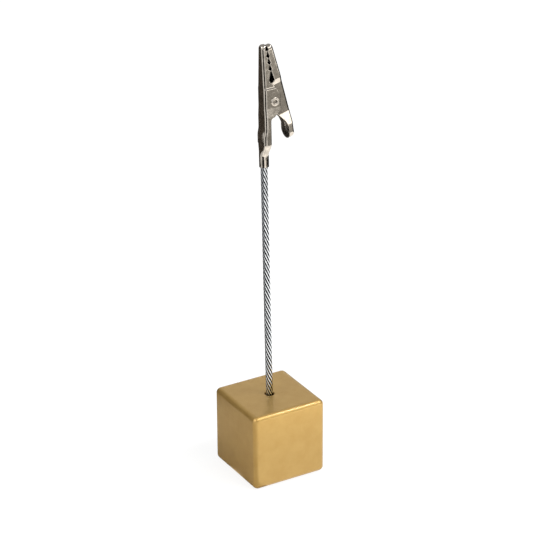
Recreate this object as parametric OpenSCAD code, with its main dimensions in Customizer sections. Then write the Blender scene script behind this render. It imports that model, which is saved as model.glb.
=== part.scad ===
// Place card holder: a gold lacquered metal cube, a stem of wire rope
// and a sprung toothed clip whose tail is crimped round the rope.
// The origin is the middle of the cube's underside, Z points up, and the
// clip opens towards +X about a rivet that lies along Y.

/* [Base] */
// Side of the cube
base_side = 20; // [14:0.5:40]
// Rounding of the cube's edges and corners
base_edge_r = 1.3; // [0.4:0.1:3]
// Depth of the drilled hole down to the shoulder of the drill
hole_depth = 11.5; // [8:0.5:12.5]
// Play between the rope and the hole, all round
hole_play = 0.32; // [0.1:0.02:0.5]
// Depth of the adhesive's surface below the cube's top
adhesive_set = 1.2; // [0.2:0.1:4]

/* [Rope] */
// Diameter of one of the eight strands
strand_d = 0.45; // [0.4:0.01:0.5]
// Gap between neighbouring strands
strand_gap = 0.02; // [0.02:0.005:0.04]
// Length in which a strand goes once round the rope
lay_length = 11.7; // [9:0.1:18]
// Rope that shows between the cube and the clip
rope_free = 61.3; // [35:0.1:110]
// Lean of the rope from upright towards -X, in degrees
rope_lean = 1; // [0:0.25:3]

/* [Clip sheet] */
// Thickness of the sheet steel of both jaws
sheet_t = 0.3; // [0.24:0.01:0.34]
// Outer radius of the long bends between a jaw's back and its sides
bend_r = 0.7; // [0.5:0.05:0.9]
// Length of the clip from the mouth of its barrel to its nose
clip_length = 30.75; // [29.5:0.25:35]
// Width over the nose
nose_w = 2.24; // [1.9:0.02:2.6]
// Width over the ears of the fixed jaw
ear_w = 3.64; // [3.6:0.02:3.9]
// Width over the tail of the fixed jaw
tail_w = 4.12; // [4:0.02:4.6]
// Distance of the fixed jaw's back behind the rope's axis
back_set = 0.4; // [0.2:0.05:0.7]
// Further set-back of the fixed jaw's back above the barrel
back_jog = 0.32; // [0.1:0.02:0.5]
// Distance of the tail's free edge in front of the rope's axis
tail_reach = 1.13; // [0.9:0.01:1.25]
// Wall of the barrel, thinned by the crimp
barrel_wall = 0.3; // [0.2:0.01:0.34]

/* [Clip pivot] */
// Distance of the pivot in front of the rope's axis
pivot_x = 2.36; // [2.2:0.02:2.6]
// Height of the pivot above the mouth of the barrel
pivot_z = 16.65; // [16:0.05:17.5]
// Reach of the fixed jaw's ears in front of the pivot
ear_reach = 1.54; // [1.4:0.02:1.75]
// Rounding of the ears' corners
ear_r = 1.3; // [1:0.05:1.4]
// Outer radius of the rivet's shank
rivet_r = 0.65; // [0.5:0.01:0.72]
// Radius of the hole through the rivet
rivet_hole_r = 0.42; // [0.2:0.01:0.45]
// Radius of the rivet's rolled heads
rivet_head_r = 1.15; // [0.95:0.01:1.3]
// Thickness of the rivet's rolled heads
rivet_head_t = 0.28; // [0.2:0.01:0.34]
// Running clearance of the rivet in its bores, on the radius
pivot_play = 0.03; // [0.02:0.005:0.06]

/* [Clip teeth] */
// Number of teeth on each side of a jaw
teeth_n = 4; // [3:1:6]
// Depth of the fixed jaw's teeth
tooth_depth = 0.45; // [0.3:0.01:0.55]
// Gap between the closed jaws
jaw_gap = 0.06; // [0.03:0.01:0.12]
// Place of the split between the jaws at the nose, in front of the rope's axis
split_nose_x = 0.84; // [0.8:0.02:1]
// Radius of the drop-shaped opening behind the teeth
drop_r = 0.62; // [0.45:0.01:0.68]
// Height of the drop-shaped opening above the pivot
drop_rise = 5.35; // [5.3:0.05:5.7]

/* [Clip moving jaw] */
// Tilt of the moving jaw's back from the rope's axis, in degrees
jaw_tilt = 13.85; // [13:0.05:14.5]
// Distance of the moving jaw's back from the pivot
jaw_back = 3.48; // [3.3:0.02:3.7]
// Width over the moving jaw's sides at the pivot
jaw_w = 2.58; // [2.56:0.01:2.62]
// Width over the thumb tab
tab_w = 4.1; // [3.6:0.05:4.3]
// Length of the thumb tab below the pivot
tab_drop = 10.3; // [10:0.05:10.9]

/* [Spring] */
// Diameter of the spring wire
spring_wire = 0.28; // [0.24:0.01:0.29]
// Whole turns of the spring besides the part turn between its legs
spring_turns = 2; // [1:1:2]
// Gap between the spring's turns
spring_gap = 0.405; // [0.402:0.001:0.415]
// Gap between the rivet and the inside of the coil
spring_play = 0.12; // [0.08:0.01:0.2]
// Reach of the legs below the pivot
leg_drop = 7.6; // [6:0.1:8]

/* [Hidden] */
STRANDS = [for (i = [1:8]) str("rope_strand_", i)];
gold = "#b8955c";
steel = "#8d867c";
rope_steel = "#9ea3a6";
amber = "#c9b78a";
$fn = 64;

// overrun of every cut, and the lap of pieces that are joined
over = 1;
lap = 0.08;

// the rope: eight strands laid side by side round a core strand
strand_n = 8;
strand_rings = 14;
ring_sides = 6;
bend_steps = 6;
round_steps = 12;
lay_slope = strand_d * strand_n / lay_length;
helix_r = (strand_d + strand_gap) * sqrt(1 + lay_slope * lay_slope) / (2 * sin(180 / strand_n));
core_r = helix_r * cos(180 / strand_rings) - strand_d / 2 - strand_gap / 2;
rope_r = helix_r + strand_d / 2;
rope_foot = hole_depth - strand_gap;
hole_r = rope_r + hole_play;
drill_half_angle = 59;
drill_tip = hole_r / tan(drill_half_angle);
fit_gap = 0.01;

// the barrel of the fixed jaw: its bore, its length, the height at which the
// flare above it meets the channel, and the directions at which the rolled
// edges and the corners of the flare begin
barrel_play = 0.02;
barrel_r = rope_r + barrel_play + barrel_wall;
barrel_length = 3.1;
channel_z = 5.8;
flare_front_turn = 80;
flare_corner_turn = 85;
seam_w = 0.12;
seam_notch_w = 0.5;
seam_notch_h = 0.7;
crimp_step = 0.04;

// the rope ends at the top of the barrel
rope_tail = barrel_length - lap;
rope_length = rope_foot + rope_free + rope_tail;

// the fixed jaw, measured from the pivot: the arch between the legs, the
// start of the wider tail, the crease across the ears and the set-back below
arch_drop = 3.85;
arch_z = pivot_z - arch_drop;
arch_r = 1;
ear_foot_drop = 1.4;
ear_foot_z = pivot_z - ear_foot_drop;
crease_rise = 3.1;
crease_z = pivot_z + crease_rise;
crease_h = 0.6;
crease_in = 0.16;
jog_drop = 3.2;
jog_z = arch_z - jog_drop;
jog_h = 1.5;

// middles of the ear's two round corners
ear_rise = 1.05;
ear_drop = 1.45;
ear_x = pivot_x + ear_reach - ear_r;
ear_top_z = pivot_z + ear_rise;
ear_low_z = pivot_z - ear_drop;

// the drop-shaped opening and the foot of the split
drop_set = 0.52;
drop_point_rise = 2.1;
split_set = 0.66;
drop_x = pivot_x - drop_set;
drop_z = pivot_z + drop_rise;
drop_tip_z = drop_z + drop_point_rise;
split_drop_x = pivot_x - split_set;
tooth_pitch = (clip_length - drop_tip_z) / teeth_n;
// a tooth's root lies at this share of the pitch, and the moving teeth
// reach this share of the depth into the fixed ones
root_share = 0.3;
mesh_share = 0.5;

// the moving jaw: the joggle that brings its sides inside the ears, and the
// flare from there to the thumb tab, whose back is tucked in
joggle_top_rise = 6.45;
joggle_foot_rise = 5.5;
joggle_top_z = pivot_z + joggle_top_rise;
joggle_foot_z = pivot_z + joggle_foot_rise;
flare_top_drop = 3.05;
flare_foot_drop = 6.25;
flare_top_z = pivot_z - flare_top_drop;
flare_foot_z = pivot_z - flare_foot_drop;
tab_z = pivot_z - tab_drop + tab_w / 2;
tab_tuck = 0.57;
flare_tuck = 0.19;
jaw_hub_r = 1.9;

// the rim from the hub down to the tab, as reach in front of the pivot and
// drop below it, and then the rim of the tab as distances from its back
rim_hub = [0.8, 3.55];
rim_bend = [2.0, 4.75];
rim_knee = [2.85, 5.7];
rim_drop = 7;
rim_depth = 2.1;
rim_end_depth = 1.75;

// winding angle beyond which two points of the spring count as neighbours
turn_apart = 300;

// Half the width of the tapered nose at height z; the sides run on below the
// nose to the crease above the ears.
nose_z = clip_length - nose_w / 2;
crease_top_half = ear_w / 2 - crease_in;
function nose_half(z) = nose_w / 2 + (crease_top_half - nose_w / 2)
    * (nose_z - z) / (nose_z - crease_z - crease_h);

// Outer face of the moving jaw's back at height z, before the thumb tab
function jaw_back_x(z) = pivot_x + jaw_back / cos(jaw_tilt) - (z - pivot_z) * tan(jaw_tilt);

// Split between the jaws at height z
function split_x(z) = split_nose_x
    + (split_drop_x - split_nose_x) * (clip_length - z) / (clip_length - drop_tip_z);

// Angle, on a circle of radius r about c, of the point whose tangent goes through e
function tangent_angle(e, c, r, side) = atan2(e[1] - c[1], e[0] - c[0])
    + side * acos(r / norm(e - c));
function on_circle(c, r, a) = c + r * [cos(a), sin(a)];

// Stations of the fixed jaw from the nose down: back face, half width, height
fixed_stations = [
    [-back_set, nose_w / 2, nose_z],
    [-back_set, crease_top_half, crease_z + crease_h],
    [-back_set, ear_w / 2, crease_z],
    [-back_set, ear_w / 2, ear_foot_z],
    [-back_set, tail_w / 2, arch_z],
    [-back_set, tail_w / 2, jog_z],
    [-back_set - back_jog, tail_w / 2, jog_z - jog_h],
    [-back_set - back_jog, tail_w / 2, channel_z]
];

// Stations of the moving jaw from the nose down to the thumb tab
moving_stations = [
    [jaw_back_x(nose_z), nose_w / 2, nose_z],
    [jaw_back_x(joggle_top_z), nose_half(joggle_top_z), joggle_top_z],
    [jaw_back_x(joggle_foot_z), jaw_w / 2, joggle_foot_z],
    [jaw_back_x(flare_top_z), jaw_w / 2, flare_top_z],
    [jaw_back_x(flare_foot_z) - flare_tuck, tab_w / 2 - flare_tuck, flare_foot_z],
    [jaw_back_x(tab_z) - tab_tuck, tab_w / 2, tab_z]
];

// Everything above the cube leans with the rope about the mouth of its hole.
module on_rope(z = 0) {
    translate([0, 0, base_side])
        rotate([0, -rope_lean, 0])
            translate([0, 0, z])
                children();
}

// Frame of the clip: the origin is the middle of the barrel's mouth.
module on_clip() {
    on_rope(rope_free) children();
}

// Solid skinned over rings of points, each ring with the same number of
// points. It closes on its first ring, or ends in two flat caps.
module skin(rings, closed = false) {
    n = len(rings);
    m = len(rings[0]);
    walls = [for (i = [0:closed ? n - 1 : n - 2], k = [0:m - 1])
        let (a = i * m + k, b = i * m + (k + 1) % m, next = ((i + 1) % n - i) * m)
            each [[a, a + next, b], [b, a + next, b + next]]];
    caps = closed ? [] : [[for (k = [0:m - 1]) k], [for (k = [m - 1:-1:0]) (n - 1) * m + k]];
    polyhedron(points = [for (r = rings) each r], faces = concat(walls, caps), convexity = 8);
}

// Round tube along a path. Each ring is square to the path, and refs gives
// the direction in which a ring's first corner points.
function unit(v) = v / norm(v);
function path_dir(p, i) = unit(p[min(i + 1, len(p) - 1)] - p[max(i - 1, 0)]);
module tube(path, refs, r, sides) {
    skin([for (i = [0:len(path) - 1])
        let (t = path_dir(path, i), b = unit(cross(t, refs[i])), n = cross(b, t))
            [for (k = [0:sides - 1]) path[i] + r * (n * cos(360 * k / sides) + b * sin(360 * k / sides))]]);
}

// One strand of the rope, on a left-hand helix.
module rope_strand(i) {
    steps = ceil(rope_length / lay_length * strand_rings);
    path = [for (k = [0:steps])
        let (s = k / steps, a = 360 * (i / strand_n - s * rope_length / lay_length))
            [helix_r * cos(a), helix_r * sin(a), -rope_foot + s * rope_length]];
    color(rope_steel) on_rope() tube(path, [for (p = path) [p[0], p[1], 0]], strand_d / 2, ring_sides);
}

module rope_core_strand() {
    color(rope_steel) on_rope() translate([0, 0, -rope_foot]) cylinder(r = core_r, h = rope_length);
}

// The drilled hole, with the cone that the drill leaves at its bottom.
module drilled_hole() {
    rotate_extrude()
        polygon([[0, -hole_depth - drill_tip], [hole_r, -hole_depth], [hole_r, over], [0, over]]);
}

// Cube with rounded edges and corners: three slabs, twelve rods and eight balls.
module rounded_block(side, r) {
    flat = side - 2 * r;
    translate([0, 0, side / 2]) {
        for (turn = [[0, 0, 0], [90, 0, 0], [0, 90, 0]]) rotate(turn) {
            cube([flat, flat, side], center = true);
            for (x = [-flat / 2, flat / 2], y = [-flat / 2, flat / 2])
                translate([x, y, 0]) cylinder(r = r, h = flat, center = true);
        }
        for (x = [-flat / 2, flat / 2], y = [-flat / 2, flat / 2], z = [-flat / 2, flat / 2])
            translate([x, y, z]) sphere(r = r);
    }
}

module base_cube() {
    color(gold) difference() {
        rounded_block(base_side, base_edge_r);
        on_rope() drilled_hole();
    }
}

// Cured adhesive that holds the rope in the hole, a cup round its foot.
module hole_adhesive() {
    outer_r = hole_r - fit_gap;
    inner_r = rope_r + fit_gap;
    color(amber) on_rope() rotate_extrude() polygon([
        [0, fit_gap - hole_depth - drill_tip], [outer_r, fit_gap - hole_depth],
        [outer_r, -adhesive_set], [inner_r, -adhesive_set],
        [inner_r, -rope_foot - fit_gap], [0, -rope_foot - fit_gap]]);
}

// Section of one side of a bent sheet, as points [x, y] from the inside of
// the back, over the bend to the free edge, and back over the outside.
function bend_arc(half_w, r, k) = [bend_r, half_w - bend_r]
    + r * [-cos(90 * k / bend_steps), sin(90 * k / bend_steps)];
function side_ring(half_w, reach) = concat(
    [for (k = [0:bend_steps]) bend_arc(half_w, bend_r - sheet_t, k)],
    [[reach, half_w - sheet_t], [reach, half_w]],
    [for (k = [bend_steps:-1:0]) bend_arc(half_w, bend_r, k)]);

// Direction of a run, in degrees from upright, and at a station the mean of
// the runs that meet there.
function lean_of(top, foot) = atan((top[0] - foot[0]) / (top[2] - foot[2]));
function mitre(st, i) = (lean_of(st[max(i - 1, 0)], st[max(i, 1)])
    + lean_of(st[min(i, len(st) - 2)], st[min(i + 1, len(st) - 1)])) / 2;

// A section set in place at station i and turned about the station's middle
function placed(st, i, ring, turn) =
    let (m = mitre(st, i), c = st[i])
        [for (q = ring) let (z = q[1] * sin(turn))
            [c[0] + q[0] * cos(m) + z * sin(m), q[1] * cos(turn), c[2] - q[0] * sin(m) + z * cos(m)]];

// A jaw's sheet as one skin. The sections go up one side, round the nose and
// down the other side, and with dished also round the lower end. The flat
// back is filled in between them, inside and outside.
module bent_sheet(st, reach, dished) {
    last = len(st) - 1;
    nose_end = last + round_steps;
    foot_end = nose_end + last;
    rings = concat(
        [for (i = [last:-1:1]) placed(st, i, side_ring(st[i][1], reach), 0)],
        [for (k = [0:round_steps]) placed(st, 0, side_ring(st[0][1], reach), 180 * k / round_steps)],
        [for (i = [1:last]) placed(st, i, side_ring(st[i][1], reach), 180)],
        dished ? [for (k = [1:round_steps - 1])
            placed(st, last, side_ring(st[last][1], reach), 180 + 180 * k / round_steps)] : []);
    n = len(rings);
    m = len(rings[0]);
    walls = [for (i = [0:dished ? n - 1 : n - 2], k = [0:m - 2])
        let (a = i * m + k, next = ((i + 1) % n - i) * m)
            each [[a, a + next, a + 1], [a + 1, a + next, a + next + 1]]];
    // ring numbers round each flat of the back: the runs, the nose, the foot
    flats = concat([for (i = [0:last - 1]) [i, i + 1, foot_end - i - 1, foot_end - i]],
        [[for (k = [last:nose_end]) k]],
        dished ? [concat([for (k = [foot_end:n - 1]) k], [0])] : []);
    inside = [for (f = flats) [for (k = [len(f) - 1:-1:0]) f[k] * m]];
    outside = [for (f = flats) [for (k = f) k * m + m - 1]];
    cap = dished ? []
        : [concat([for (k = [0:m - 1]) k], [for (k = [m - 1:-1:0]) foot_end * m + k])];
    polyhedron(points = [for (r = rings) each r], faces = concat(walls, inside, outside, cap), convexity = 8);
}

// Outline in the clip's side view, as a slab across the whole width.
module side_slab(width) {
    rotate([90, 0, 0]) linear_extrude(width, center = true) children();
}

// Points along an arc of a side view
function arc(c, r, a0, a1) =
    [for (k = [0:round_steps]) on_circle(c, r, a0 + (a1 - a0) * k / round_steps)];

// The drop-shaped opening behind the teeth: its middle, tip and foot
drop_c = [drop_x, drop_z];
drop_tip = [split_drop_x, drop_tip_z];
drop_foot = [drop_x, drop_z - drop_r];

// Saw teeth along the split, from the drop to the nose.
function saw(depth, shift) = [for (i = [0:teeth_n - 1]) each [
    [split_x(drop_tip_z + i * tooth_pitch) + shift, drop_tip_z + i * tooth_pitch],
    [split_x(drop_tip_z + (i + root_share) * tooth_pitch) + shift - depth,
        drop_tip_z + (i + root_share) * tooth_pitch]]];

// Side view of the fixed jaw: tail, arch, ear, drop, teeth and nose.
module fixed_side() {
    far = -back_set - back_jog - over;
    ear_top = [ear_x, ear_top_z];
    ear_low = [ear_x, ear_low_z];
    polygon(concat([[far, channel_z], [tail_reach, channel_z]],
        arc([tail_reach + arch_r, arch_z - arch_r], arch_r, 180, 90),
        arc(ear_low, ear_r, tangent_angle([tail_reach + arch_r, arch_z], ear_low, ear_r, 1), 0),
        arc(ear_top, ear_r, 0, tangent_angle(drop_foot, ear_top, ear_r, -1)),
        arc(drop_c, drop_r, 270, tangent_angle(drop_tip, drop_c, drop_r, 1)),
        saw(tooth_depth, 0),
        [[split_nose_x, clip_length + over], [far, clip_length + over]]));
}

// Crimped barrel and the shoulders that run out into the channel.
module barrel() {
    bore_r = rope_r + barrel_play;
    difference() {
        union() {
            cylinder(r = barrel_r, h = barrel_length);
            barrel_flare(barrel_r - crimp_step, crimp_step, tail_reach - crimp_step, lap);
        }
        translate([0, 0, -over]) cylinder(r = bore_r, h = barrel_length + over + lap);
        barrel_flare(bore_r - crimp_step, sheet_t + crimp_step, tail_reach + over, over);
        translate([-seam_w / 2, -2 * barrel_r, -over])
            cube([seam_w, 2 * barrel_r, barrel_length + over]);
        translate([0, 0, barrel_length - seam_notch_h]) rotate([90, 0, 0])
            linear_extrude(2 * barrel_r)
                polygon([[0, seam_notch_h], [-seam_notch_w / 2, 0], [seam_notch_w / 2, 0]]);
    }
}

// Flare from the barrel up to the channel. It starts inside the barrel's
// rim and ends inside the channel's foot, which leaves the step of the crimp.
module barrel_flare(r, inset, front, rise) {
    corner_r = bend_r - inset;
    x0 = -back_set - back_jog + inset + corner_r;
    y0 = tail_w / 2 - inset - corner_r;
    n = bend_steps;
    round_foot = concat([for (k = [-n:n]) on_circle([0, 0], r, flare_front_turn * k / n)],
        [for (k = [0:n]) on_circle([0, 0], r, 90 + flare_corner_turn * k / n)],
        [for (k = [n:-1:0]) on_circle([0, 0], r, 270 - flare_corner_turn * k / n)]);
    square_head = concat([for (k = [-n:n]) [front, (y0 + corner_r) * k / n]],
        [for (k = [0:n]) on_circle([x0, y0], corner_r, 90 + 90 * k / n)],
        [for (k = [0:n]) on_circle([x0, -y0], corner_r, 180 + 90 * k / n)]);
    skin([for (layer = [[round_foot, barrel_length - lap], [round_foot, barrel_length],
        [square_head, channel_z], [square_head, channel_z + rise]])
            [for (q = layer[0]) [q[0], q[1], layer[1]]]]);
}

module fixed_jaw() {
    reach = pivot_x + ear_reach + back_set + back_jog + over;
    color(steel) on_clip() difference() {
        union() {
            intersection() {
                bent_sheet(fixed_stations, reach, false);
                side_slab(2 * tail_w) fixed_side();
            }
            barrel();
        }
        translate([pivot_x, 0, pivot_z]) rotate([90, 0, 0])
            cylinder(r = rivet_r + pivot_play, h = 2 * tail_w, center = true);
    }
}

// Side view of the moving jaw, closed: hub, drop, teeth, nose and thumb tab.
module moving_side() {
    far = jaw_back_x(tab_z) + over;
    hub = [pivot_x, pivot_z];
    rim = [
        [jaw_back_x(tab_z) - rim_end_depth, tab_z - tab_w / 2 - over],
        [jaw_back_x(tab_z) - rim_depth, pivot_z - rim_drop],
        [pivot_x + rim_knee[0], pivot_z - rim_knee[1]],
        [pivot_x + rim_bend[0], pivot_z - rim_bend[1]],
        [pivot_x + rim_hub[0], pivot_z - rim_hub[1]]
    ];
    polygon(concat(
        arc(hub, jaw_hub_r, 360 + tangent_angle(rim[len(rim) - 1], hub, jaw_hub_r, -1),
            tangent_angle(drop_foot, hub, jaw_hub_r, 1)),
        arc(drop_c, drop_r, -90, tangent_angle(drop_tip, drop_c, drop_r, -1)),
        saw(tooth_depth * mesh_share, jaw_gap),
        [[split_nose_x + jaw_gap, clip_length + over], [far, clip_length + over], [far, tab_z - tab_w]],
        rim));
}

module moving_jaw() {
    reach = jaw_back + jaw_hub_r + over;
    // the sheet is laid out with its back towards -X and then mirrored
    laid = [for (s = moving_stations) [-s[0], s[1], s[2]]];
    color(steel) on_clip() difference() {
        intersection() {
            mirror([1, 0, 0]) bent_sheet(laid, reach, true);
            side_slab(2 * tail_w) moving_side();
        }
        translate([pivot_x, 0, pivot_z]) rotate([90, 0, 0])
            cylinder(r = rivet_r + pivot_play, h = 2 * tail_w, center = true);
    }
}

// Hollow rivet with a rolled head on either side.
module pivot_rivet() {
    color(steel) on_clip() translate([pivot_x, 0, pivot_z]) rotate([90, 0, 0])
        for (s = [0, 1]) mirror([0, 0, s]) rotate_extrude() {
            translate([rivet_hole_r, 0]) square([rivet_r - rivet_hole_r, ear_w / 2 + rivet_head_t / 2]);
            translate([rivet_hole_r + rivet_head_t / 2, ear_w / 2 + fit_gap])
                square([rivet_head_r - rivet_hole_r - rivet_head_t, rivet_head_t]);
            for (x = [rivet_hole_r, rivet_head_r - rivet_head_t])
                translate([x + rivet_head_t / 2, ear_w / 2 + fit_gap + rivet_head_t / 2])
                    circle(d = rivet_head_t);
        }
}

// Torsion spring: up one leg, round the rivet and down the other leg. The leg
// on the fixed jaw ends one step higher than the other.
spring_r = rivet_r + spring_play + spring_wire / 2;
spring_hub = [pivot_x, pivot_z];
leg_seat = spring_wire / 2 + fit_gap;
leg_step = 1;
fixed_leg_end = [-back_set + sheet_t + leg_seat, pivot_z - leg_drop + leg_step];
moving_leg_end = [lookup(pivot_z - leg_drop, [for (s = moving_stations) [s[2], s[0]]])
    - sheet_t / cos(jaw_tilt) - leg_seat, pivot_z - leg_drop];
leg_angle_a = tangent_angle(fixed_leg_end, spring_hub, spring_r, -1);
leg_angle_b = tangent_angle(moving_leg_end, spring_hub, spring_r, 1);
spring_sweep = leg_angle_a - leg_angle_b + 360 * ceil((leg_angle_b - leg_angle_a) / 360)
    + 360 * spring_turns;
spring_steps = 8 * (spring_turns + 1);
spring_half = (spring_wire + spring_gap) * spring_sweep / 720;
spring_path = concat(
    [[fixed_leg_end[0], -spring_half, fixed_leg_end[1]]],
    [for (i = [0:spring_steps])
        let (s = i / spring_steps, p = on_circle(spring_hub, spring_r, leg_angle_a - s * spring_sweep))
            [p[0], (2 * s - 1) * spring_half, p[1]]],
    [[moving_leg_end[0], spring_half, moving_leg_end[1]]]);

// Least gap of the spring's wire to itself, between points a turn or more apart
spring_least = min([for (i = [1:spring_steps + 1], j = [1:spring_steps + 1])
    if (abs(i - j) * spring_sweep / spring_steps > turn_apart) norm(spring_path[i] - spring_path[j])])
    - spring_wire;
echo(least_gap_of_spring_to_itself = spring_least);

module torsion_spring() {
    color(steel) on_clip() tube(spring_path, [for (p = spring_path) [0, 1, 0]], spring_wire / 2, ring_sides);
}

base_cube();
hole_adhesive();
rope_core_strand();
for (i = [0:strand_n - 1]) rope_strand(i);
fixed_jaw();
moving_jaw();
pivot_rivet();
torsion_spring();
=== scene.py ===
"""Place card holder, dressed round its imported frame.

A gold lacquered steel cube carries a stem of wire rope, eight strands round one,
and a toothed clip of nickel-plated sheet. Shapes are worked out in millimetres
as grids of two parameters and put into Blender in metres, in the row frame: the
origin is the middle of the cube's underside and +Z is up.
"""

import math

import bpy
import numpy as np
from mathutils import Matrix, Vector


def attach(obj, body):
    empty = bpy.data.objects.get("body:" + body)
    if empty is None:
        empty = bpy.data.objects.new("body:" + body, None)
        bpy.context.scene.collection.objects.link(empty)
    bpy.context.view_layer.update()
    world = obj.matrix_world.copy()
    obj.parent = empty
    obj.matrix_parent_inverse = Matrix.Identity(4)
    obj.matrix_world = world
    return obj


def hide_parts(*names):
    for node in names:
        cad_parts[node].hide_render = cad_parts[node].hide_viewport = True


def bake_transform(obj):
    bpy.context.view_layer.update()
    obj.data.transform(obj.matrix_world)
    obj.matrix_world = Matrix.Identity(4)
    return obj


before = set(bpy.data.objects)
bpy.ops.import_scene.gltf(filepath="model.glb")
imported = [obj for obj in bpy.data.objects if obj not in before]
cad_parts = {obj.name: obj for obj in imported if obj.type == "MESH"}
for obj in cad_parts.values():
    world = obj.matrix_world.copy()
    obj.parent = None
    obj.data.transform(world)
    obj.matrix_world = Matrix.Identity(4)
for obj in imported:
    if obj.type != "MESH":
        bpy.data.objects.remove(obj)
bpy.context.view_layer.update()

bl_info = {
    "name": "Place card holder",
    "version": (1, 0, 0),
    "blender": (4, 5, 0),
    "location": "View3D > Sidebar > Card holder",
    "description": "Builds a cube, a wire rope stem and a toothed clip that holds a card",
    "category": "Add Mesh",
}

MM = 0.001
STRANDS = 8
STAND = "stand"
JAW = "moving_jaw"

# Measures in millimetres that several functions share. The clip's side view has
# its origin in the barrel's mouth, X towards the moving jaw and Z up.
DRILL_SLOPE = math.tan(math.radians(59.0))  # radius over height of a 118 degree drill point
CLEARANCE = 0.01  # between pieces that lie against each other
NOSE_HALF = 1.12  # half width and rounding of both noses
CHANNEL_FOOT = 5.8  # height at which the tail channel passes into the flare
ARCH_DROP = 3.85  # arch under the ear, below the pivot
FIXED_BACK = -0.4  # X of the fixed jaw's back
MOVING_BACK = 3.48  # from the pivot square to the moving jaw's back
MOVING_TILT = math.radians(13.85)
TAB_DROP, TAB_HALF = 10.3, 2.05  # thumb tab: its foot below the pivot, and its half width
SPRING_WIRE = 0.28
SPLIT_NOSE = 0.84  # X of the split between the jaws at the nose
DROP_TIP = (-0.66, 7.6)  # tip of the drop-shaped opening, from the pivot
END_TURNS = np.radians(np.linspace(7.5, 90.0, 12))  # rows that close a sheet's end round
TURNED_SIDES = 64  # points round a turned piece


# Sizes and colours

def length(name, words, value):
    """A length in metres, given here in millimetres."""
    return bpy.props.FloatProperty(name=name, description=words, default=value * MM, min=0.0,
                                   unit="LENGTH", precision=5)


def colour(name, words, code):
    """A colour given as an sRGB hex value and kept as linear light."""
    return bpy.props.FloatVectorProperty(name=name, description=words, subtype="COLOR",
                                         size=3, min=0.0, max=1.0, default=linear(code))


def linear(code):
    """sRGB hex to linear: c / 12.92 below 0.04045, else ((c + 0.055) / 1.055) ** 2.4."""
    values = [int(code[i:i + 2], 16) / 255 for i in (1, 3, 5)]
    return tuple(v / 12.92 if v <= 0.04045 else ((v + 0.055) / 1.055) ** 2.4 for v in values)


class CubeSettings(bpy.types.PropertyGroup):
    side: length("Side", "Side of the cube", 20.0)
    edge: length("Edge radius", "Rounding of the cube's edges and corners", 1.3)
    hole: length("Hole radius", "Radius of the drilled hole", 1.19)
    hole_depth: length("Hole depth", "Depth of the hole to the shoulder of the drill", 11.5)
    gold: colour("Gold", "Lacquer where it is thick", "#C5A15D")
    gold_worn: colour("Gold, thin", "Lacquer where it is thin", "#BF9A56")
    adhesive: colour("Adhesive", "Cured adhesive in the hole", "#6E5A34")


class StemSettings(bpy.types.PropertyGroup):
    strand: length("Strand diameter", "Diameter of one strand", 0.45)
    gap: length("Strand gap", "Gap between neighbouring strands", 0.02)
    lay: length("Lay length", "Length in which a strand goes once round", 11.7)
    free: length("Free length", "Rope between the cube and the clip", 61.3)
    tail: length("Tail", "Rope inside the clip", 3.02)
    lean: bpy.props.FloatProperty(name="Lean", description="Lean of the rope towards -X",
                                  default=math.radians(1.0), subtype="ANGLE")
    steel: colour("Wire steel", "Bright drawn wire", "#E6E9EC")
    steel_dark: colour("Wire shade", "Drawing marks along the wire", "#B4B9BE")
    # painted shade in the grooves between the strands
    groove_shade: colour("Groove shade, painted", "Painted shade in the grooves between the strands", "#0C0E10")


class ClipSettings(bpy.types.PropertyGroup):
    sheet: length("Sheet", "Thickness of the sheet of both jaws", 0.3)
    bend: length("Bend radius", "Outer radius of the bends along the back", 0.7)
    pivot_x: length("Pivot reach", "Distance of the pivot in front of the rope", 2.36)
    pivot_z: length("Pivot height", "Height of the pivot above the barrel's mouth", 16.65)
    top: length("Clip length", "From the barrel's mouth to the nose", 30.75)
    nickel: colour("Nickel", "Bright nickel plating", "#C9C1B6")
    nickel_dull: colour("Dull nickel", "Plating where it is dull from handling", "#A39C92")
    # painted shade on the inside of the jaws and in the rivet's bore
    inside: colour("Painted shade inside the sheet", "Painted shade inside the jaws and the rivet's bore", "#241B14")
    spring: colour("Spring steel", "Oil-tempered spring wire", "#5C5A58")


class StageSettings(bpy.types.PropertyGroup):
    floor: colour("Floor", "Plain pale floor", "#F4F4F2")
    sky: colour("Room", "Light from the room", "#F2F3F5")


# Meshes from grids of points

def grid_faces(n, m, ring):
    """Quads between neighbouring points of an n by m grid. The columns close
    round, and the last row joins the first where it is a ring."""
    row, column = np.arange(n if ring else n - 1)[:, None], np.arange(m)[None, :]
    after, beside = (row + 1) % n, (column + 1) % m
    corners = (row * m + column, row * m + beside, after * m + beside, after * m + column)
    return np.stack(corners, axis=-1).reshape(-1, 4).tolist()


def welded(points, faces):
    """Points that lie within a hundredth of a micron are made one, and the
    corners of a face that fall together are dropped. Also gives which of the old
    points is each new one."""
    keys = np.round(points / 1e-5).astype(np.int64)
    _, first, back = np.unique(keys, axis=0, return_index=True, return_inverse=True)
    back = back.reshape(-1)
    kept = []
    for face in faces:
        ring = back[face].tolist()
        ring = [v for i, v in enumerate(ring) if v != ring[i - 1]]
        if len(set(ring)) >= 3:
            kept.append(ring)
    return points[first], kept, first


def outward(points, faces):
    """Faces turned so that the closed shape's signed volume, the sum of
    p0 . (p1 x p2) / 6 over its triangles, is positive."""
    tri = np.array([(f[0], f[i], f[i + 1]) for f in faces for i in range(1, len(f) - 1)])
    p0, p1, p2 = points[tri[:, 0]], points[tri[:, 1]], points[tri[:, 2]]
    if np.einsum("ij,ij->i", p0, np.cross(p1, p2)).sum() < 0:
        return [f[::-1] for f in faces]
    return faces


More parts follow.
